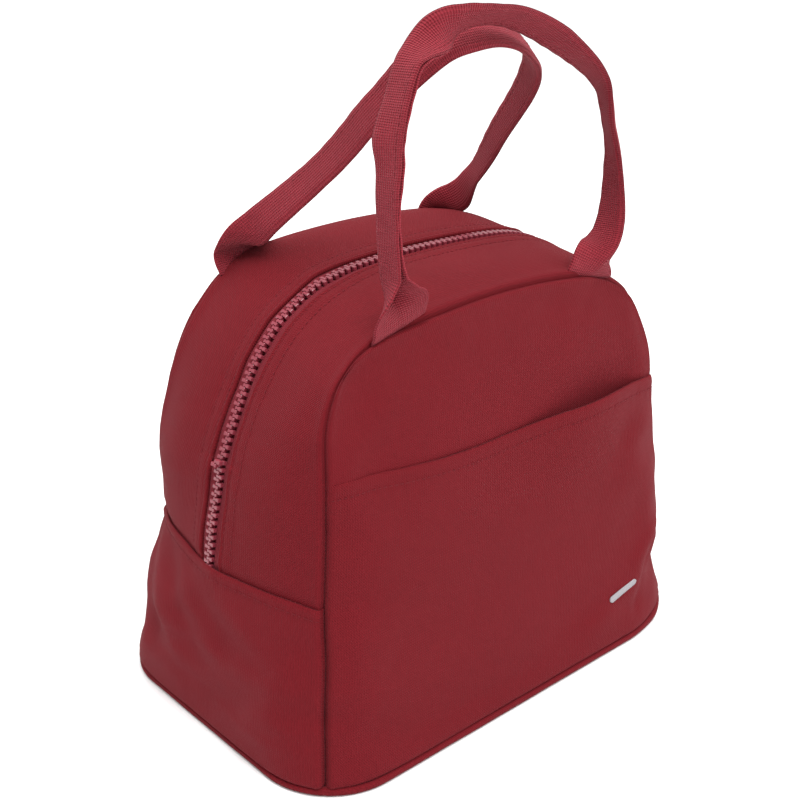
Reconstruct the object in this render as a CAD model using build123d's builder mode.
from build123d import *
import os
from functools import cache
from math import atan2, cos, hypot, pi, radians, sin, sqrt, tan

# Soft insulated lunch bag with an arched top, two webbing handles and a zip
# that runs over the arch.  Millimetres, +Z up, the pocket faces -Y, origin on
# the ground under the middle of the base.

# --- dimensions of the whole bag ---------------------------------------------
BASE_X, BASE_Y, BASE_CORNER = 150.0, 96.0, 43.0    # half width, half depth, corner radius
TUB_HEIGHT = 96.0          # top edge of the lower panels
SPLIT_GAP = 0.3            # half of the gap where lower and upper pieces meet

# leaning walls: height, half width, half depth, plan corner radius
TUB = [(0.0, BASE_X, BASE_Y, BASE_CORNER),
       (48.0, 146.0, 88.5, 50.0),
       (TUB_HEIGHT, 142.0, 82.7, 57.0),
       (150.0, 141.0, 75.0, 48.0),
       (240.0, 140.0, 63.0, 30.0)]

# arch over the middle of the bag; each FALL is the amount lost at the seams
ARCH_FOOT, ARCH_FOOT_FALL = 150.0, 17.6            # half width at the ground
ARCH_LEAN, ARCH_LEAN_GAIN = 4.8, 0.5               # inward lean in degrees, more at the seams
ARCH_CORNER, ARCH_CORNER_FALL = 70.0, 12.0         # shoulder radius
ARCH_TOP_RADIUS, ARCH_TOP_FALL = 600.0, 100.0      # nearly flat top
ARCH_HEIGHT, ARCH_HEIGHT_FALL = 233.0, 10.0        # crest
SEAM_DEPTH = 68.0          # distance of the seams from the middle
FALL_POWER = 2.4
ZIP_CORNER_GAIN = 40.0     # the stiff zip bends less, so the shoulder is larger in the middle
ZIP_CORNER_REACH = 50.0    # depth at which that gain has faded out
ZIP_CORNER_POWER = 1.5
ARCH_BLOCK_BOTTOM = 40.0
ARCH_STATIONS = (-96, -72, -44, -20, 0, 20, 44, 72, 96)    # y of the lofted sections

# layers, measured inwards from the outer face of the bag
CLOTH = 0.9
FOAM_OUT, FOAM_IN = 1.1, 5.1
LINING_OUT, LINING_IN = 5.3, 5.7
BINDING_OUT, BINDING_IN = 5.9, 6.8
BINDING_WIDTH = 8.0
LAYER_GAP = 0.2
CORNER_CUT = 56.0          # |x| - |y| at the corner seams of the lower tub
CORNER_GAP = 0.25

# base
WELT_HEIGHT = 5.0
WELT_X, WELT_Y, WELT_CORNER = 299.2, 190.6, 43.5   # full size of the top of the welt
WELT_FILLET = 0.6
BOARD = 2.0
BOARD_INSET, PAD_INSET = 6.0, 7.0                  # foam and lining are the pads
INSERT_CORNER = 38.0
WALL_GAP = 0.3             # gap between a base piece and the walls above it

# front pocket
POCKET_OUT, POCKET_IN = -1.2, -0.3
POCKET_EDGE_MID = 139.0    # height of the curved top edge in the middle
POCKET_EDGE_END = 156.0    # and at POCKET_EDGE_X
POCKET_EDGE_X = 150.0

# zip
WINDOW = 7.5               # half width of the opening between the folded cloth edges
TAPE_OUT, TAPE_IN = 1.15, 1.65
TAPE_EDGE = 3.2            # inner edge of the tape, |y|
TAPE_SPREAD = 5.3          # the same where the rows spread at the right end
TAPE_OUTER_EDGE = 16.0
FOAM_EDGE = TAPE_OUTER_EDGE + 1
END_TAPE_X, END_TAPE_BOTTOM, END_TAPE_GAP = 140.0, 84.0, 0.4
TOOTH_PITCH = 3.9
TOOTH_ALONG = 1.85
TOOTH_TIP = 0.7            # reach past the middle line
TOOTH_ROOT = 3.1
TOOTH_THICK = 2.8
TOOTH_SPREAD = 1.9         # sideways travel of the spread teeth
SPREAD_START, SPREAD_RUN = 1.0, 5.0                # along the chain from the slider
CHAIN_DEPTH = 1.4          # middle of the teeth below the outer face
CHAIN_START = 116.0        # height where the moving rows of teeth begin
END_TEETH = 4
STOP_ALONG, STOP_FROM_END = 3.0, 2.2
SLIDER_HEIGHT = 107.5

# handles
WEBBING = 36.0
WEBBING_THICK = 1.6
FOLDED_WIDTH = 18.0
FOLDED_THICK = 3.4
FOOT_WIDTH, FOOT_THICK = WEBBING - 4, 2 * WEBBING_THICK - 1.0
FOOT_RISE = 2.2            # start of the handle above the hinge line
ANCHOR_X = 70.0
ANCHOR_BOX_BOTTOM = 190.0
ANCHOR_GAP = 0.2
HINGE_Z = 226.0

os.makedirs("parts", exist_ok=True)


def save(part, name):
    part.label = name
    export_step(part, f"parts/{name}.step")


def save_pair(front, name):
    """Save a front piece and its mirror image; {} in the name is the side."""
    save(front, name.format("front"))
    with BuildPart() as back:
        mirror(front, about=Plane.XZ)
    save(back.part, name.format("back"))


# --- blocks that the layers are cut from -------------------------------------
def polar(centre, radius, angle):
    return centre[0] + radius * cos(angle), centre[1] + radius * sin(angle)


def arch_geometry(y):
    """Lean, shoulder radius, top radius, crest height, shoulder centre and
    angle where shoulder and top meet, for the arch outline at depth y."""
    fall = (abs(y) / SEAM_DEPTH) ** FALL_POWER
    foot = ARCH_FOOT - ARCH_FOOT_FALL * fall
    lean = radians(ARCH_LEAN + ARCH_LEAN_GAIN * fall)
    middle = max(0.0, 1.0 - (y / ZIP_CORNER_REACH) ** 2) ** ZIP_CORNER_POWER
    corner = ARCH_CORNER - ARCH_CORNER_FALL * fall + ZIP_CORNER_GAIN * middle
    top = ARCH_TOP_RADIUS - ARCH_TOP_FALL * fall
    crest = ARCH_HEIGHT - ARCH_HEIGHT_FALL * fall
    # the shoulder centre lies on a line parallel to the side, and its distance
    # from the centre of the top arc is the difference of the two radii
    start_x, start_z = foot - corner * cos(lean), -corner * sin(lean)
    above = start_z - (crest - top)
    half_linear = -start_x * sin(lean) + above * cos(lean)
    constant = start_x ** 2 + above ** 2 - (top - corner) ** 2
    run = -half_linear + sqrt(half_linear ** 2 - constant)
    centre = (start_x - run * sin(lean), start_z + run * cos(lean))
    tilt = atan2(centre[1] - (crest - top), centre[0])
    return lean, corner, top, crest, centre, tilt


def arch_points(y, inset):
    """Foot, three shoulder points and crest of the right half of the arch."""
    lean, corner, _, crest, centre, tilt = arch_geometry(y)
    low, middle, high = (polar(centre, corner - inset, angle)
                         for angle in (lean, (lean + tilt) / 2, tilt))
    foot = (low[0] + (low[1] - ARCH_BLOCK_BOTTOM) * tan(lean), ARCH_BLOCK_BOTTOM)
    return foot, low, middle, high, (0.0, crest - inset)


def flip(point):
    return -point[0], point[1]


@cache
def make_arch(inset):
    """Solid block under the crowned arch, its outer face moved in by inset."""
    with BuildPart() as block:
        for y in ARCH_STATIONS:
            foot, low, middle, high, crest = arch_points(y, inset)
            with BuildSketch(Plane(origin=(0, y, 0), x_dir=(1, 0, 0), z_dir=(0, -1, 0))):
                with BuildLine():
                    Line(foot, low)
                    ThreePointArc(low, middle, high)
                    ThreePointArc(high, crest, flip(high))
                    ThreePointArc(flip(high), flip(middle), flip(low))
                    Line(flip(low), flip(foot))
                    Line(flip(foot), foot)
                make_face()
        loft()
    return block.part


@cache
def make_tub(inset):
    """Solid block inside the leaning walls, its outer face moved in by inset."""
    with BuildPart() as block:
        for z, half_x, half_y, radius in TUB:
            with BuildSketch(Plane.XY.offset(z)):
                RectangleRounded(2 * (half_x - inset), 2 * (half_y - inset), radius - inset)
        loft()
    return block.part


def make_layer(outer, inner, *zones):
    """Shell between two blocks, kept only inside every zone."""
    with BuildPart() as layer:
        add(outer)
        add(inner, mode=Mode.SUBTRACT)
        for zone in zones:
            add(zone, mode=Mode.INTERSECT)
    return layer.part


# --- zones of space ----------------------------------------------------------
Z_LOW = TUB_HEIGHT - SPLIT_GAP
Z_HIGH = TUB_HEIGHT + SPLIT_GAP
WEDGE_REACH = 160.0        # the wedges end well outside the bag
ZONE_WIDTH, ZONE_TOP, ZONE_FRONT = 400.0, 300.0, -120.0
WALL_ZONE_Y = -20.0        # rear limit of the zone holding the upper front wall
POCKET_ZONE_Y = -40.0


def make_wedge(outline, z_bottom):
    """Plan outline raised from z_bottom to the top of the lower tub."""
    with BuildPart() as wedge:
        with BuildSketch(Plane.XY.offset(z_bottom)):
            Polygon(*outline, align=None)
        extrude(amount=Z_LOW - z_bottom)
    return wedge.part


def side_zone(sign, z_bottom):
    """Space taken by one lower side panel; sign is the side along X."""
    cut = CORNER_CUT + CORNER_GAP
    far = sign * (cut + WEDGE_REACH)
    return make_wedge([(sign * cut, 0), (far, -WEDGE_REACH), (far, WEDGE_REACH)], z_bottom)


def face_zone(sign, z_bottom):
    """Space taken by the lower front or back panel; sign is the side along Y."""
    cut = CORNER_CUT - CORNER_GAP
    far_x, far_y = cut + WEDGE_REACH, sign * WEDGE_REACH
    return make_wedge([(-cut, 0), (cut, 0), (far_x, far_y), (-far_x, far_y)], z_bottom)


def upper_zone(y_back, y_front=ZONE_FRONT, z_bottom=Z_HIGH):
    """Box of space between two depths, above the lower tub."""
    with BuildPart() as zone:
        with Locations((0, (y_front + y_back) / 2, (z_bottom + ZONE_TOP) / 2)):
            Box(ZONE_WIDTH, y_back - y_front, ZONE_TOP - z_bottom)
    return zone.part


# --- base --------------------------------------------------------------------
def make_base_panel():
    """Cloth tray with a low welt around it."""
    with BuildPart() as panel:
        with BuildSketch():
            RectangleRounded(2 * BASE_X, 2 * BASE_Y, BASE_CORNER)
        with BuildSketch(Plane.XY.offset(WELT_HEIGHT)):
            RectangleRounded(WELT_X, WELT_Y, WELT_CORNER)
        loft()
        with BuildSketch(Plane.XY.offset(CLOTH)):
            RectangleRounded(2 * (BASE_X - CLOTH), 2 * (BASE_Y - CLOTH), BASE_CORNER - CLOTH)
        extrude(amount=20, mode=Mode.SUBTRACT)
        fillet(panel.edges().group_by(Axis.Z)[0].filter_by(GeomType.LINE), WELT_FILLET)
    return panel.part


def make_base_insert(inset, z_bottom, thickness):
    with BuildPart() as insert:
        with BuildSketch(Plane.XY.offset(z_bottom)):
            RectangleRounded(2 * (BASE_X - inset), 2 * (BASE_Y - inset), INSERT_CORNER)
        extrude(amount=thickness)
    return insert.part


save(make_base_panel(), "base_panel")

# stacked inserts: name, inset from the base outline, thickness
BASE_INSERTS = [("base_board", BOARD_INSET, BOARD),
                ("base_foam", PAD_INSET, FOAM_IN - FOAM_OUT),
                ("base_lining", PAD_INSET, LINING_IN - LINING_OUT)]
stack_top = CLOTH
for name, inset, thickness in BASE_INSERTS:
    save(make_base_insert(inset, stack_top + LAYER_GAP, thickness), name)
    stack_top += LAYER_GAP + thickness

OUTER_START = WELT_HEIGHT + WALL_GAP
INNER_START = stack_top + WALL_GAP

# --- lower walls -------------------------------------------------------------
# layer, outer inset, inner inset, bottom height
WALL_LAYERS = [("panel", 0.0, CLOTH, OUTER_START),
               ("foam", FOAM_OUT, FOAM_IN, INNER_START),
               ("lining", LINING_OUT, LINING_IN, INNER_START)]
NOTCH_X, NOTCH_Z = 140.0, 94.0                     # centre of the notch in the side foam
NOTCH_WIDTH, NOTCH_HEIGHT = 60.0, 24.0


def notch_side_foam(foam, sign):
    """Cut room for the end of the zip tape into the top of the side foam."""
    with BuildPart() as notched:
        add(foam)
        with Locations((sign * NOTCH_X, 0, NOTCH_Z)):
            Box(NOTCH_WIDTH, 2 * FOAM_EDGE, NOTCH_HEIGHT, mode=Mode.SUBTRACT)
    return notched.part


for layer, outer, inner, bottom in WALL_LAYERS:
    for side, sign in (("left", -1), ("right", 1)):
        wall = make_layer(make_tub(outer), make_tub(inner), side_zone(sign, bottom))
        if layer == "foam":
            wall = notch_side_foam(wall, sign)
        save(wall, f"side_{layer}_{side}")
    for side, sign in (("front", -1), ("back", 1)):
        wall = make_layer(make_tub(outer), make_tub(inner), face_zone(sign, bottom))
        save(wall, f"{side}_{layer}_lower")


# --- front pocket ------------------------------------------------------------
def make_pocket_upper():
    """Upper part of the pocket, its top edge dipping in the middle."""
    left, right = (-POCKET_EDGE_X, POCKET_EDGE_END), (POCKET_EDGE_X, POCKET_EDGE_END)
    top = 320.0
    sheet = make_layer(make_tub(POCKET_OUT), make_tub(POCKET_IN),
                       upper_zone(POCKET_ZONE_Y), make_arch(0.0))
    with BuildPart() as pocket:
        add(sheet)
        with BuildSketch(Plane.XZ.offset(20)):
            with BuildLine():
                ThreePointArc(left, (0, POCKET_EDGE_MID), right)
                Line(right, (POCKET_EDGE_X, top))
                Line((POCKET_EDGE_X, top), (-POCKET_EDGE_X, top))
                Line((-POCKET_EDGE_X, top), left)
            make_face()
        extrude(amount=120, mode=Mode.SUBTRACT)
    return pocket.part


def make_label_print():
    """Plain printed bar low on the right of the pocket, tilted up to the right."""
    length, height, tilt = 25.0, 5.0, radians(12)
    outer, inner = make_tub(POCKET_OUT - 0.25), make_tub(POCKET_OUT - 0.05)
    with BuildPart() as bar:
        with BuildSketch(Plane(origin=(75.0, -120.0, 31.0), x_dir=(cos(tilt), 0, sin(tilt)),
                               z_dir=(0, -1, 0))):
            SlotOverall(length, height)
        extrude(amount=-60)
        add(outer, mode=Mode.INTERSECT)
        add(inner, mode=Mode.SUBTRACT)
    return bar.part


save(make_layer(make_tub(POCKET_OUT), make_tub(POCKET_IN), face_zone(-1, OUTER_START)),
     "pocket_lower")
save(make_pocket_upper(), "pocket_upper")
save(make_label_print(), "label_print")

# --- upper half, each front piece mirrored to the back -----------------------
# name, outer inset, inner inset, |y| of the edge beside the zip
GUSSETS = [("gusset_{}", 0.0, CLOTH, WINDOW),
           ("gusset_foam_{}", FOAM_OUT, FOAM_IN, FOAM_EDGE),
           ("gusset_lining_{}", LINING_OUT, LINING_IN, WINDOW + 1)]
for name, outer, inner, edge in GUSSETS:
    save_pair(make_layer(make_arch(outer), make_arch(inner), make_tub(outer),
                         upper_zone(-edge)), name)

# name, outer inset, inner inset, inset of the arch that trims the top
UPPER_WALLS = [("{}_panel_upper", 0.0, CLOTH, FOAM_OUT),
               ("{}_foam_upper", FOAM_OUT, FOAM_IN, LINING_OUT),
               ("{}_lining_upper", LINING_OUT, LINING_IN, BINDING_OUT)]
for name, outer, inner, trim in UPPER_WALLS:
    save_pair(make_layer(make_tub(outer), make_tub(inner), make_arch(trim),
                         upper_zone(WALL_ZONE_Y)), name)


def make_seam_binding():
    """Strip under the arch, along the seam with the front wall."""
    tub_outer, tub_inner = make_tub(BINDING_OUT), make_tub(BINDING_OUT + BINDING_WIDTH)
    sheet = make_layer(make_arch(BINDING_OUT), make_arch(BINDING_IN), tub_outer)
    return make_layer(sheet, tub_inner, upper_zone(WALL_ZONE_Y))


save_pair(make_seam_binding(), "seam_binding_{}")
save_pair(make_layer(make_arch(TAPE_OUT), make_arch(TAPE_IN),
                     upper_zone(-TAPE_EDGE, -TAPE_OUTER_EDGE, CHAIN_START)),
          "zipper_tape_{}")

# --- zip chain along the middle of the arch ----------------------------------
lean, corner_radius, top_radius, crest_z, corner_centre, tilt = arch_geometry(0)
chain_corner = corner_radius - CHAIN_DEPTH
chain_top = top_radius - CHAIN_DEPTH
top_centre = (0.0, crest_z - top_radius)
line_end_x, line_end_z = polar(corner_centre, chain_corner, lean)
line_len = (line_end_z - TUB_HEIGHT) / cos(lean)
corner_len = chain_corner * (tilt - lean)
top_len = chain_top * (pi - 2 * tilt)
chain_len = 2 * line_len + 2 * corner_len + top_len


def chain_frame(s):
    """Point and outward angle on the chain line, s from the right end of the arch."""
    if s > chain_len / 2:
        x, z, angle = chain_frame(chain_len - s)
        return -x, z, pi - angle
    if s < line_len:
        left = line_len - s
        return line_end_x + left * sin(lean), line_end_z - left * cos(lean), lean
    if s < line_len + corner_len:
        angle = lean + (s - line_len) / chain_corner
        return *polar(corner_centre, chain_corner, angle), angle
    angle = tilt + (s - line_len - corner_len) / chain_top
    return *polar(top_centre, chain_top, angle), angle


def chain_place(s, across=0.0):
    """Location with x across the chain to the front, y along it and z outwards."""
    x, z, angle = chain_frame(s)
    plane = Plane(origin=(x, 0, z), x_dir=(0, -1, 0), z_dir=(cos(angle), 0, sin(angle)))
    return Location(plane) * Location((across, 0, 0))


def tooth_place(s, sign, spread=0.0):
    return chain_place(s, sign * ((TOOTH_ROOT - TOOTH_TIP) / 2 + spread))


stub_len = (CHAIN_START - TUB_HEIGHT) / cos(lean)
slider_s = (SLIDER_HEIGHT - TUB_HEIGHT) / cos(lean)
row_count = int((chain_len - 2 * stub_len - TOOTH_PITCH) / TOOTH_PITCH)
spare = chain_len - 2 * stub_len - row_count * TOOTH_PITCH
first_tooth = stub_len + spare / 2 + TOOTH_PITCH / 4
TOOTH_SIZE = (TOOTH_ROOT + TOOTH_TIP, TOOTH_ALONG, TOOTH_THICK)
# row name, side of the chain, shift along it so the two rows interlock
TOOTH_ROWS = [("front", 1, 0.0), ("back", -1, TOOTH_PITCH / 2)]


def make_tooth_row(sign, shift):
    with BuildPart() as teeth:
        for i in range(row_count):
            with Locations(tooth_place(first_tooth + shift + i * TOOTH_PITCH, sign)):
                Box(*TOOTH_SIZE)
    return teeth.part


def spread_at(past_slider):
    """How far a tooth has moved sideways, by its distance above the slider."""
    share = (SPREAD_START - past_slider) / SPREAD_RUN
    return max(0.0, min(TOOTH_SPREAD, share * TOOTH_SPREAD))


def make_end_teeth():
    """Fixed teeth at both ends; on the right they spread apart below the slider."""
    with BuildPart() as teeth:
        for i in range(END_TEETH):
            for _, sign, shift in TOOTH_ROWS:
                s = first_tooth + shift - (i + 1) * TOOTH_PITCH
                with Locations(tooth_place(s, sign, spread_at(s - slider_s))):
                    Box(*TOOTH_SIZE)
                with Locations(tooth_place(chain_len - s, sign)):
                    Box(*TOOTH_SIZE)
    return teeth.part


def end_tape_zone():
    """Four boxes holding the tape ends, wider apart on the right."""
    top = CHAIN_START - END_TAPE_GAP
    with BuildPart() as zone:
        for sign in (-1, 1):
            for x, edge in ((-END_TAPE_X, TAPE_EDGE), (END_TAPE_X, TAPE_SPREAD)):
                with Locations((x, sign * (edge + TAPE_OUTER_EDGE) / 2,
                                (END_TAPE_BOTTOM + top) / 2)):
                    Box(80, TAPE_OUTER_EDGE - edge, top - END_TAPE_BOTTOM)
    return zone.part


def make_top_stops():
    """One stop on each row at the right end."""
    width, across = 2.0, 4.2
    with BuildPart() as stops:
        for sign in (-1, 1):
            with Locations(chain_place(STOP_FROM_END, sign * across)):
                Box(width, STOP_ALONG, TOOTH_THICK)
    return stops.part


def make_bottom_stop():
    """One stop across both rows at the left end."""
    width, edge_radius = 6.0, 0.4
    with BuildPart() as stop:
        with Locations(chain_place(chain_len - STOP_FROM_END)):
            Box(width, STOP_ALONG, TOOTH_THICK)
        fillet(stop.edges().filter_by(Axis.Y), edge_radius)
    return stop.part


for name, sign, shift in TOOTH_ROWS:
    save(make_tooth_row(sign, shift), f"zipper_teeth_{name}")
save(make_end_teeth(), "zipper_end_teeth")
save(make_layer(make_arch(TAPE_OUT), make_arch(TAPE_IN), end_tape_zone()), "zipper_end_tapes")
save(make_top_stops(), "zipper_top_stops")
save(make_bottom_stop(), "zipper_bottom_stop")

# --- slider ------------------------------------------------------------------
# slider plane: x towards the back, y up along the chain, z outwards
slider_x, slider_z, slider_angle = chain_frame(slider_s)
slider_plane = Plane(origin=(slider_x, 0, slider_z), x_dir=(0, 1, 0),
                     z_dir=(cos(slider_angle), 0, sin(slider_angle)))

PLATE_IN, PLATE_OUT = 1.7, 2.9                     # distance of the two plates from the chain
FLANGE_IN, FLANGE_OUT = 0.7, 1.75
# outlines on the slider plane: across, along
PLATE_OUTLINE = [(-4.6, 6.0), (4.6, 6.0), (6.6, -4.0), (5.2, -6.0), (-5.2, -6.0), (-6.6, -4.0)]
FLANGE_OUTLINE = [(4.6, 6.0), (6.6, -4.0), (5.8, -4.0), (3.8, 6.0)]
WEDGE_OUTLINE = [(0, -2.5), (1.05, -5.6), (-1.05, -5.6)]
# bridge profile: along, outwards
BRIDGE_OUTLINE = [(-4.2, 3.0), (-3.4, 5.6), (-2.2, 6.3), (2.2, 6.3), (3.4, 5.6), (4.2, 3.0),
                  (2.9, 3.0), (2.2, 4.9), (-2.2, 4.9), (-2.9, 3.0)]
BRIDGE_HALF_WIDTH = 1.0

# pull tab: across, along
TAB_OUTLINE = [(-3.2, 0.7), (-3.4, -8.0), (-4.0, -26.0), (-2.6, -29.0),
               (2.6, -29.0), (4.0, -26.0), (3.4, -8.0), (3.2, 0.7)]
TAB_NOTCH = [(-1.6, 3.0), (-1.6, -6.0), (1.6, -6.0), (1.6, 3.0)]
TAB_LEVEL, TAB_THICK = 3.3, 1.2
TAB_CUT_LEVEL, TAB_CUT_DEPTH = TAB_LEVEL - 0.1, TAB_THICK + 0.2
PIN_LENGTH, PIN_RADIUS = 4.0, TAB_THICK / 2
TAB_SLOT_Y, TAB_SLOT_LENGTH, TAB_SLOT_WIDTH = -23.5, 4.0, 2.2


def make_slider_body():
    """Two plates, their side flanges and the wedge between the rows."""
    with BuildPart() as body:
        for low in (PLATE_IN, -PLATE_OUT):
            with BuildSketch(slider_plane.offset(low)):
                Polygon(*PLATE_OUTLINE, align=None)
            extrude(amount=PLATE_OUT - PLATE_IN)
        for low in (FLANGE_IN, -FLANGE_OUT):
            for side in (1, -1):
                with BuildSketch(slider_plane.offset(low)):
                    Polygon(*[(side * x, y) for x, y in FLANGE_OUTLINE], align=None)
                extrude(amount=FLANGE_OUT - FLANGE_IN)
        with BuildSketch(slider_plane.offset(-FLANGE_OUT)):
            Polygon(*WEDGE_OUTLINE, align=None)
        extrude(amount=2 * FLANGE_OUT)
    return body.part


def make_slider_bridge():
    """Bridge on the slider that holds the pull."""
    with BuildPart() as bridge:
        with BuildSketch(Plane(origin=slider_plane.origin, x_dir=slider_plane.y_dir,
                               z_dir=slider_plane.x_dir)):
            with BuildLine():
                Polyline(*BRIDGE_OUTLINE, close=True)
            make_face()
        extrude(amount=BRIDGE_HALF_WIDTH, both=True)
    return bridge.part


def make_pull_tab():
    """A pin under the bridge, two arms and a flat slotted tab hanging down."""
    pin_start = (slider_plane.origin + slider_plane.z_dir * (TAB_LEVEL + TAB_THICK / 2)
                 - slider_plane.x_dir * (PIN_LENGTH / 2))
    with BuildPart() as tab:
        with BuildSketch(slider_plane.offset(TAB_LEVEL)):
            with BuildLine():
                Polyline(*TAB_OUTLINE, close=True)
            make_face()
        extrude(amount=TAB_THICK)
        with BuildSketch(slider_plane.offset(TAB_CUT_LEVEL)):
            Polygon(*TAB_NOTCH, align=None)
        extrude(amount=TAB_CUT_DEPTH, mode=Mode.SUBTRACT)
        with BuildSketch(Plane(origin=pin_start, x_dir=slider_plane.y_dir,
                               z_dir=slider_plane.x_dir)):
            Circle(PIN_RADIUS)
        extrude(amount=PIN_LENGTH)
        with BuildSketch(slider_plane.offset(TAB_CUT_LEVEL)):
            with Locations((0, TAB_SLOT_Y)):
                SlotOverall(TAB_SLOT_LENGTH, TAB_SLOT_WIDTH)
        extrude(amount=TAB_CUT_DEPTH, mode=Mode.SUBTRACT)
    return tab.part


save(make_slider_body(), "slider_body")
save(make_slider_bridge(), "slider_bridge")
save(make_pull_tab(), "pull_tab")

# --- handles -----------------------------------------------------------------
# middle line of each grip from left to right: x, z
FRONT_PATH = [(-75.5, 254.0), (-75.2, 273.6), (-72.8, 292.0), (-70.5, 308.0), (-60.0, 332.0),
              (-43.0, 347.5), (-20.0, 352.5), (3.3, 348.7), (26.0, 341.0), (50.0, 327.5),
              (67.0, 312.0), (74.5, 293.0), (78.5, 277.0), (79.0, 262.0)]
BACK_PATH = [(-71.0, 250.0), (-62.0, 266.0), (-52.5, 285.0), (-45.5, 305.0), (-36.0, 325.0),
             (-22.0, 337.0), (-4.0, 341.0), (18.0, 338.0), (40.0, 328.0), (54.0, 315.0),
             (62.0, 297.0), (66.5, 275.0), (69.5, 250.0)]
# side, path, y of the hinge line, travel towards +Y per millimetre of height
HANDLES = [("front", FRONT_PATH, -62.7, 0.055),
           ("back", BACK_PATH, 60.8, -0.88)]


def make_handle(path_points, hinge_y, slope):
    """Webbing folded in half along the grip, opening out at the ends."""
    stretch = hypot(1.0, slope)
    plane = Plane(origin=(0, hinge_y, HINGE_Z), x_dir=(1, 0, 0),
                  z_dir=(0, -1 / stretch, slope / stretch))
    up = plane.y_dir
    points = [plane.from_local_coords(Vector(x, (z - HINGE_Z) * stretch, 0))
              for x, z in path_points]
    with BuildPart() as handle:
        with BuildLine():
            path = Spline(*points, tangents=(up, -up))
        with BuildSketch(Plane(origin=path @ 0, x_dir=(1, 0, 0), z_dir=up)):
            Rectangle(FOLDED_THICK, FOLDED_WIDTH)
        sweep()
        for sign, head in ((-1, points[0]), (1, points[-1])):
            foot = plane.from_local_coords(Vector(sign * ANCHOR_X, FOOT_RISE, 0))
            with BuildSketch(Plane(origin=foot, x_dir=(1, 0, 0), z_dir=up)):
                Rectangle(FOOT_WIDTH, FOOT_THICK)
            with BuildSketch(Plane(origin=head, x_dir=(1, 0, 0), z_dir=up)):
                Rectangle(FOLDED_THICK, FOLDED_WIDTH)
            loft()
    return handle.part


def make_anchors(hinge_y):
    """Flat sewn ends of the webbing, standing on the arch."""
    top = HINGE_Z - ANCHOR_GAP
    arch_clearance = make_arch(-ANCHOR_GAP)
    with BuildPart() as anchors:
        for sign in (-1, 1):
            with Locations((sign * ANCHOR_X, hinge_y, (top + ANCHOR_BOX_BOTTOM) / 2)):
                Box(WEBBING, WEBBING_THICK, top - ANCHOR_BOX_BOTTOM)
        add(arch_clearance, mode=Mode.SUBTRACT)
        # clears whatever is left at the bottom of the boxes
        with Locations((0, hinge_y, ANCHOR_BOX_BOTTOM)):
            Box(400, 10, 20, mode=Mode.SUBTRACT)
    return anchors.part


for side, path_points, hinge_y, slope in HANDLES:
    save(make_handle(path_points, hinge_y, slope), f"handle_{side}")
    save(make_anchors(hinge_y), f"handle_anchors_{side}")
